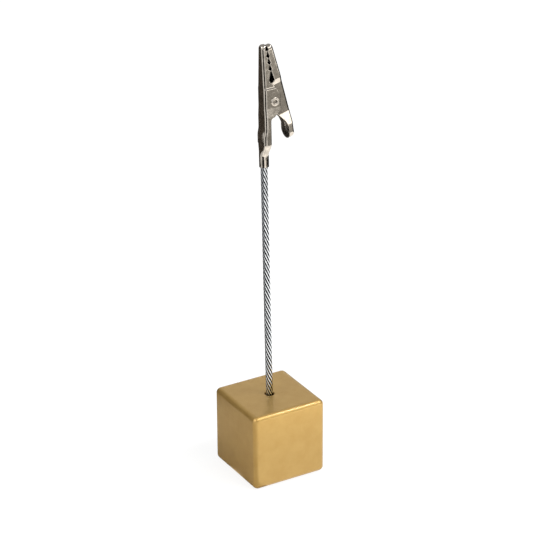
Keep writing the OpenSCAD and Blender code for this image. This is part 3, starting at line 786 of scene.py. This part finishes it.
class HOLDER_OT_moving_jaw(bpy.types.Operator):
    """Moving jaw of bent sheet, with its teeth, hub and dished thumb tab"""
    bl_idname = "holder.moving_jaw"
    bl_label = "Moving jaw"

    def execute(self, context):
        clip = context.scene.holder_clip
        heights, backs, widths = moving_stations(clip)
        outline = moving_outline(clip)
        # the jaw's own frame: along runs up its back, depth runs towards -X
        to_along, to_depth = jaw_frame(backs, heights, MOVING_TILT, -1.0)
        edge_along, _ = jaw_frame(*np.array(outline).T, MOVING_TILT, -1.0)
        along = fine_rows(to_along[-1], to_along[0], edge_along)
        half_w = soft_polyline(along, zip(to_along, widths), 0.32)
        back = soft_polyline(along, zip(to_along, to_depth), 0.9)
        reach = reach_of(outline, along, back, 0.9, MOVING_TILT, -1.0)
        rows, inner = sheet_rows(along, back, half_w, reach, 0 * along, clip, END_TURNS)
        d, y, s = rows[..., 0], rows[..., 1], rows[..., 2]
        x = -d * math.cos(MOVING_TILT) - s * math.sin(MOVING_TILT)
        z = s * math.cos(MOVING_TILT) - d * math.sin(MOVING_TILT)
        points = np.stack([x, y, z], -1)
        # the painted shade on the inside falls to four tenths down the tab
        inner *= 1.0 - 0.6 * smooth_step((clip.pivot_z / MM - 3.0 - z) / 2.0)[..., None]
        nickel = nickel_plate("Bright nickel plate, handled", dull_share=0.2)
        add_piece("moving_jaw_sheet", clip_to_row(points), "moving_jaw", "clip_nickel", nickel, body=JAW,
                  inner=inner)
        return {"FINISHED"}


class HOLDER_OT_rivet(bpy.types.Operator):
    """Hollow rivet with a rolled head on either side"""
    bl_idname = "holder.rivet"
    bl_label = "Rivet"

    def execute(self, context):
        clip = context.scene.holder_clip
        bore, shank, ear, step = 0.42, 0.65, 1.83, 0.04
        roll_middle, roll_half, roll_rise = 0.785, 0.365, 0.24
        head = [(roll_middle + roll_half * math.cos(t), ear + step + roll_rise * math.sin(t))
                for t in np.radians(np.linspace(180.0, 0.0, 19))]
        half = [(bore, 0.0), (bore, ear), *head, (shank, ear), (shank, 0.0)]
        profile = half + [(r, -h) for r, h in half[::-1]][1:-1]
        # the bore's inside takes the painted shade of nickel_plate
        inner = np.repeat(np.array([r < bore + 0.03 for r, _ in profile], float), TURNED_SIDES * 3)
        x, y, z = np.moveaxis(turned(profile), -1, 0)
        points = np.stack([x + clip.pivot_x / MM, z, y + clip.pivot_z / MM], -1)
        nickel = nickel_plate("Satin nickel plate, rolled rivet", dull_share=0.3, satin=0.18)
        add_piece("rivet_rolled", clip_to_row(points), "pivot_rivet", "rivet_nickel", nickel, ring=True,
                  inner=inner)
        return {"FINISHED"}


def spring_path(clip):
    """Middle of the spring's wire, and half the width of its coil: a straight
    leg from the fixed jaw's back, a coil (r cos a, y, r sin a) of two turns and
    more round the pivot, with y growing evenly, and a leg to the moving jaw."""
    hub = (clip.pivot_x / MM, clip.pivot_z / MM)
    pivot_x, pivot_z = hub
    wire_r, sheet, gap, coil = SPRING_WIRE / 2, clip.sheet / MM, 0.405, 0.91
    heights, backs, _ = moving_stations(clip)
    low = pivot_z - 7.6
    back = np.interp(low, heights[::-1], backs[::-1])
    first = (FIXED_BACK + sheet + wire_r + CLEARANCE, pivot_z - 6.6)
    last = (back - sheet / math.cos(MOVING_TILT) - wire_r - CLEARANCE, low)
    start, end = tangent(first, hub, coil, -1), tangent(last, hub, coil, 1)
    sweep = start - end + 360 * math.ceil((end - start) / 360) + 720
    half = (SPRING_WIRE + gap) * sweep / 720
    share = np.linspace(0.0, 1.0, 120)
    a = np.radians(start - share * sweep)
    turns = np.stack([pivot_x + coil * np.cos(a), (2 * share - 1) * half, pivot_z + coil * np.sin(a)], -1)
    leg = np.linspace(0.0, 1.0, 10)[:-1, None]
    first, last = np.array([first[0], -half, first[1]]), np.array([last[0], half, last[1]])
    leg_in = first + leg * (turns[0] - first)
    leg_out = (last + leg * (turns[-1] - last))[::-1]
    return np.concatenate([leg_in, turns, leg_out]), half


class HOLDER_OT_spring(bpy.types.Operator):
    """Torsion spring round the rivet, with a leg on each jaw's back"""
    bl_idname = "holder.spring"
    bl_label = "Torsion spring"

    def execute(self, context):
        clip = context.scene.holder_clip
        path, half = spring_path(clip)
        points = clip_to_row(tube(path, SPRING_WIRE / 2))
        piece = add_piece("spring_wound", points, "torsion_spring", "spring_steel", spring_wire(), sharp=60.0)
        # one leg lies on the stand and the other on the jaw; the piece is taken off the stand's body, and its
        # place is baked into its points
        piece.parent = None
        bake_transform(piece)
        return {"FINISHED"}


def tube(path, radius, sides=12):
    """Round tube: each ring is square to the path, and its first point looks
    away from the rivet's axis, which lies along Y. Both ends are closed."""
    direction = np.gradient(path, axis=0)
    direction /= np.linalg.norm(direction, axis=1, keepdims=True)
    across = np.cross(direction, np.array([0.0, 1.0, 0.0]))
    across /= np.linalg.norm(across, axis=1, keepdims=True)
    other = np.cross(direction, across)
    b = 2 * math.pi * np.arange(sides) / sides
    ring = across[:, None] * np.cos(b)[None, :, None] + other[:, None] * np.sin(b)[None, :, None]
    body = path[:, None] + radius * ring
    return np.concatenate([np.repeat(path[:1, None], sides, 1), body, np.repeat(path[-1:, None], sides, 1)])


# Stage: floor, cards, light and camera

# Card shades: name, linear colour and glow. The last two stand for softboxes.
CARD_SHADES = {
    "deep": ("Black velvet flag", (0.02, 0.018, 0.016), 0.0),
    "black": ("Black studio flag", (0.055, 0.046, 0.038), 0.0),
    "grey": ("Grey studio card", (0.28, 0.27, 0.25), 0.0),
    "pale": ("Pale studio card", (0.44, 0.42, 0.38), 0.0),
    "soft": ("Dimmed studio card", (1.0, 0.98, 0.95), 0.4),
    "lit": ("White studio card", (1.0, 0.98, 0.94), 1.9),
}
# Cards on the floor that only reflections see: two directions in degrees from +X
# about +Z, two radii in millimetres and a shade.
FLOOR_CARDS = (
    ("floor_flag_left", 88.0, 136.0, 50.0, 600.0, "black"),
    ("floor_flag_back", 58.0, 88.0, 40.0, 165.0, "black"),
    ("floor_card_near", 136.0, 236.0, 50.0, 75.0, "pale"),
    ("floor_card_face", 92.0, 236.0, 10.6, 50.0, "pale"),
    ("floor_flag_rope", 136.0, 170.0, 75.0, 184.0, "deep"),
    ("floor_card_left", 172.0, 248.0, 76.0, 155.0, "soft"),
    ("floor_card_rope", 250.0, 400.0, 60.0, 172.0, "soft"),
    ("floor_flag_front", 198.0, 249.0, 165.0, 600.0, "deep"),
    ("floor_flag_right", 322.0, 418.0, 174.0, 600.0, "deep"),
    ("floor_flag_mid", 290.0, 322.0, 174.0, 207.0, "deep"),
    ("floor_card_lit", 252.0, 287.0, 174.0, 203.0, "soft"),
    ("floor_card_side", 285.0, 322.0, 208.0, 470.0, "grey"),
)
# Upright cards that only reflections see: direction, distance, height of the
# lower edge, width and height in millimetres, and a shade.
UPRIGHT_CARDS = (
    ("upright_flag_left", 120.0, 150.0, 1.0, 170.0, 130.0, "black"),
    ("upright_flag_right", 366.0, 400.0, 1.0, 380.0, 260.0, "black"),
    ("upright_card_high", 290.0, 450.0, 380.0, 420.0, 520.0, "lit"),
    ("upright_card_back", 60.0, 500.0, 170.0, 110.0, 80.0, "soft"),
    ("upright_card_side", 306.0, 480.0, 20.0, 500.0, 70.0, "lit"),
)
# Lamps that shine at LAMP_TARGET: place in metres, watts, width in metres, and
# whether the metal mirrors it.
LAMP_TARGET = (0.0, 0.0, 0.05)
LAMPS = (
    ("key_light", (0.35, -0.55, 0.75), 8.4, 0.8, False),
    ("fill_light", (-0.7, -0.1, 0.55), 2.6, 0.5, True),
    ("edge_light", (0.45, -0.35, 0.82), 1.8, 0.08, True),
)
FLOOR_HALF, FLOOR_GAP = 3000.0, 0.2  # half the floor's side, and its depth below the part
ROOM_STRENGTH = 0.62
PHOTO_WIDTH = 533
FOCAL_PIXELS = 2490
SENSOR_MM = 36.0


def add_card(name, corners, material):
    """One flat face of the stage through corners in millimetres."""
    mesh = bpy.data.meshes.new(name)
    mesh.from_pydata((corners * MM).tolist(), [], [list(range(len(corners)))])
    mesh.materials.append(material)
    card = bpy.data.objects.new(name, mesh)
    bpy.context.scene.collection.objects.link(card)
    return card


def floor_sector(start, end, near, far, lift=0.3):
    """Part of a ring on the floor: (r cos a, r sin a) between two radii."""
    a = np.radians(np.linspace(start, end, 13))
    rim = np.stack([np.cos(a), np.sin(a), 0.0 * a], -1)
    return np.concatenate([near * rim, far * rim[::-1]]) + [0.0, 0.0, lift]


def upright_square(turn, away, foot, width, height):
    """Upright rectangle that faces the stem, with its foot at a height."""
    out = np.array([math.cos(math.radians(turn)), math.sin(math.radians(turn)), 0.0])
    side, up = np.array([out[1], -out[0], 0.0]), np.array([0.0, 0.0, 1.0])
    return np.array([away * out + across * width / 2 * side + (foot + rise * height) * up
                     for across, rise in ((-1, 0), (1, 0), (1, 1), (-1, 1))])


def only_in_reflections(card):
    """Hides a card from the camera and from all rays but glossy ones."""
    card.visible_camera = False
    card.visible_shadow = False
    card.visible_diffuse = False
    card.visible_transmission = False


def card_material(name, shade, glow):
    """Matt card, which glows where it stands for a softbox."""
    material, tree, shader = new_material(name)
    set_inputs(tree, shader, {"Base Color": (*shade, 1.0), "Roughness": 1.0, "Specular IOR Level": 0.0,
                              "Emission Color": (*shade, 1.0), "Emission Strength": glow})
    return material


def floor_material(shade):
    """Matt white floor, which the camera and reflections see four fifths as
    plain white, so that it runs into the background and keeps the shadow."""
    material, tree, _ = new_material("Matt white studio floor")
    tree.nodes.clear()
    seen = add_node(tree, "LightPath").outputs
    looked = seen["Is Camera Ray"]
    for ray in ("Is Glossy Ray", "Is Transmission Ray"):
        looked = add_node(tree, "Math", {0: looked, 1: seen[ray]}, operation="MAXIMUM")
    part = add_node(tree, "Math", {0: looked, 1: 0.8}, operation="MULTIPLY")
    plain = add_node(tree, "BsdfDiffuse", {"Color": (*shade, 1.0)})
    white = add_node(tree, "Emission", {"Color": (1.0, 1.0, 1.0, 1.0), "Strength": 1.05})
    add_node(tree, "OutputMaterial", {"Surface": add_node(tree, "MixShader", {0: part, 1: plain, 2: white})})
    return material


def add_world(scene, shade):
    """Even light from all round."""
    world = bpy.data.worlds.new("Even room light")
    scene.world = world
    world.use_nodes = True
    tree = world.node_tree
    set_inputs(tree, tree.nodes["Background"], {"Color": (*shade, 1.0), "Strength": ROOM_STRENGTH})


def add_lamp(scene, name, place, power, size, mirrored):
    """Round lamp whose own +Z looks away from LAMP_TARGET."""
    lamp = bpy.data.lights.new(name, "AREA")
    lamp.shape = "DISK"
    lamp.size = size
    lamp.energy = power
    holder = bpy.data.objects.new(name, lamp)
    holder.visible_glossy = mirrored
    holder.location = place
    holder.rotation_euler = (Vector(place) - Vector(LAMP_TARGET)).to_track_quat("Z", "Y").to_euler()
    scene.collection.objects.link(holder)


def add_camera(scene):
    """Camera fitted to the photograph: azimuth, elevation and roll in degrees,
    distance from a point 60 mm up the stem, and the two offsets in that plane."""
    azimuth, elevation, roll, distance, offset_x, offset_y = -30.1, 25.30, -0.41, 600.0, 0.485, 4.72
    a, e, r = (math.radians(v) for v in (azimuth, elevation, roll))
    back = np.array([math.sin(a) * math.cos(e), -math.cos(a) * math.cos(e), math.sin(e)])
    right = np.array([math.cos(a), math.sin(a), 0.0])
    up = np.cross(back, right)
    right, up = math.cos(r) * right + math.sin(r) * up, math.cos(r) * up - math.sin(r) * right
    place = (np.array([0.0, 0.0, 60.0]) + back * distance - right * offset_x - up * offset_y) * MM
    matrix = np.eye(4)
    matrix[:3, 0], matrix[:3, 1], matrix[:3, 2], matrix[:3, 3] = right, up, back, place
    camera = bpy.data.cameras.new("camera")
    camera.sensor_fit = "HORIZONTAL"
    camera.sensor_width = SENSOR_MM
    camera.lens = FOCAL_PIXELS / PHOTO_WIDTH * SENSOR_MM
    camera.clip_start, camera.clip_end = 0.01, 20.0
    eye = bpy.data.objects.new("camera", camera)
    scene.collection.objects.link(eye)
    eye.matrix_world = Matrix(matrix.tolist())
    scene.camera = eye


class HOLDER_OT_stage(bpy.types.Operator):
    """Pale floor, studio cards, room light, lamps and the camera"""
    bl_idname = "holder.stage"
    bl_label = "Stage"

    def execute(self, context):
        scene = context.scene
        floor = np.array([(-1, -1), (1, -1), (1, 1), (-1, 1)]) * FLOOR_HALF
        floor = np.concatenate([floor, np.full((4, 1), -FLOOR_GAP)], -1)
        add_card("studio_floor", floor, floor_material(scene.holder_stage.floor))
        shades = {key: card_material(*look) for key, look in CARD_SHADES.items()}
        for name, *sizes, shade in FLOOR_CARDS:
            only_in_reflections(add_card(name, floor_sector(*sizes), shades[shade]))
        for name, *sizes, shade in UPRIGHT_CARDS:
            only_in_reflections(add_card(name, upright_square(*sizes), shades[shade]))
        add_world(scene, scene.holder_stage.sky)
        for lamp in LAMPS:
            add_lamp(scene, *lamp)
        add_camera(scene)
        scene.view_settings.view_transform = "Standard"
        return {"FINISHED"}


OPERATORS = (HOLDER_OT_cube, HOLDER_OT_adhesive, HOLDER_OT_stem, HOLDER_OT_fixed_jaw, HOLDER_OT_moving_jaw,
             HOLDER_OT_rivet, HOLDER_OT_spring, HOLDER_OT_stage)
SETTINGS = {"holder_cube": CubeSettings, "holder_stem": StemSettings, "holder_clip": ClipSettings,
            "holder_stage": StageSettings}


class HOLDER_PT_panel(bpy.types.Panel):
    """Lists the settings and the operators of the card holder"""
    bl_idname = "HOLDER_PT_panel"
    bl_label = "Card holder"
    bl_space_type = "VIEW_3D"
    bl_region_type = "UI"
    bl_category = "Card holder"

    def draw(self, context):
        for operator in OPERATORS:
            self.layout.operator(operator.bl_idname)
        for name, group in SETTINGS.items():
            box = self.layout.box()
            for setting in group.__annotations__:
                box.prop(getattr(context.scene, name), setting)


def register():
    for group in (*SETTINGS.values(), *OPERATORS, HOLDER_PT_panel):
        bpy.utils.register_class(group)
    for name, group in SETTINGS.items():
        setattr(bpy.types.Scene, name, bpy.props.PointerProperty(type=group))


def unregister():
    for name in SETTINGS:
        delattr(bpy.types.Scene, name)
    for group in (HOLDER_PT_panel, *OPERATORS[::-1], *list(SETTINGS.values())[::-1]):
        bpy.utils.unregister_class(group)


def main():
    register()
    for operator in OPERATORS:
        group, name = operator.bl_idname.split(".")
        getattr(getattr(bpy.ops, group), name)()


if __name__ == "__main__":
    main()
